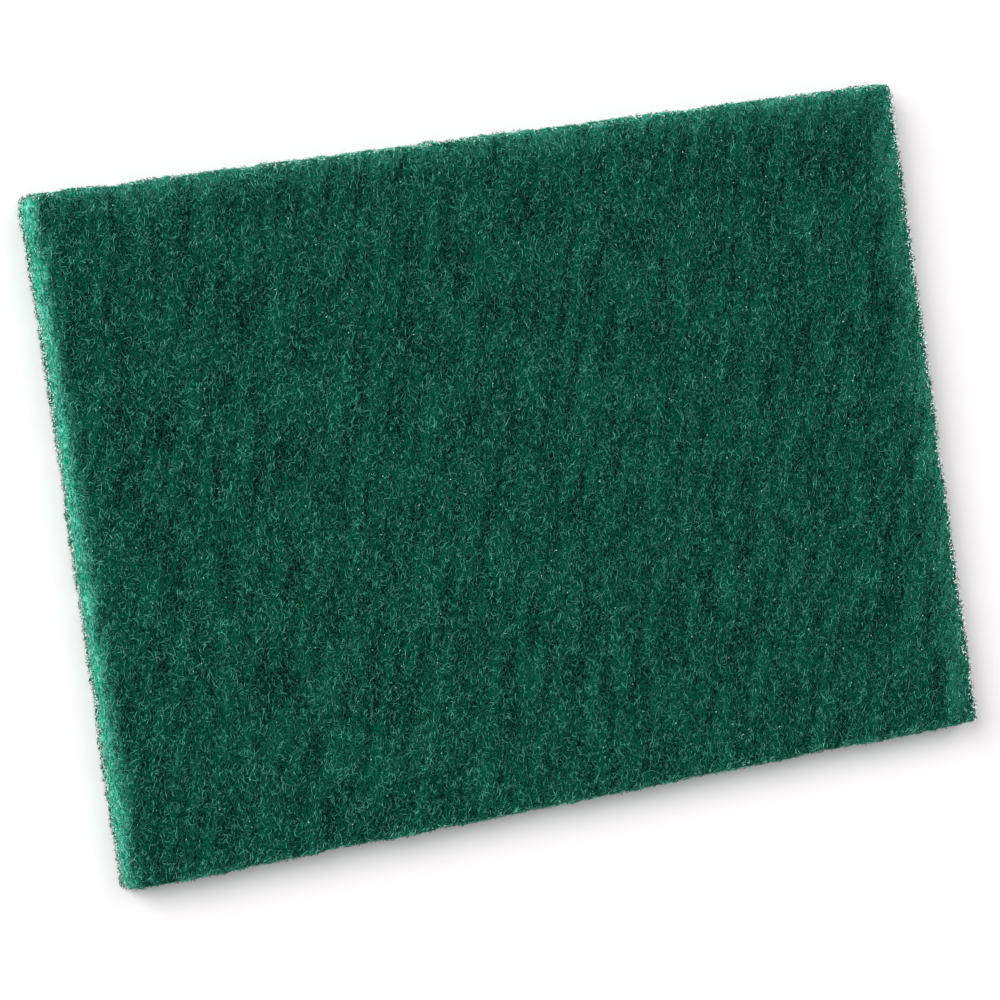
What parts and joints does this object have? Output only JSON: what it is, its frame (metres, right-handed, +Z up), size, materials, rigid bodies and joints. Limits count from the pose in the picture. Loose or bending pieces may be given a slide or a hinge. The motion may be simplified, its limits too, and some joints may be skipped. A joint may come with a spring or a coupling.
{
  "type": "non-woven finishing pad",
  "caption": "Flat rectangular hand pad cut from a lofty web of crimped green fibres, with nearly square corners, soft cut edges and shallow slanting furrows over both broad faces.",
  "frame": {"origin": "middle of the rectangle under the pad, at the level it rests on", "axes": "+X along the length, +Y across the width, +Z up through the thickness"},
  "size_m": [0.229, 0.152, 0.008],
  "materials": {
    "green_fibre_web": "matt dark green fibre web with paler emerald cut edges"
  },
  "bodies": {
    "root": {"abrasive_web": "green_fibre_web"}
  },
  "joints": []
}
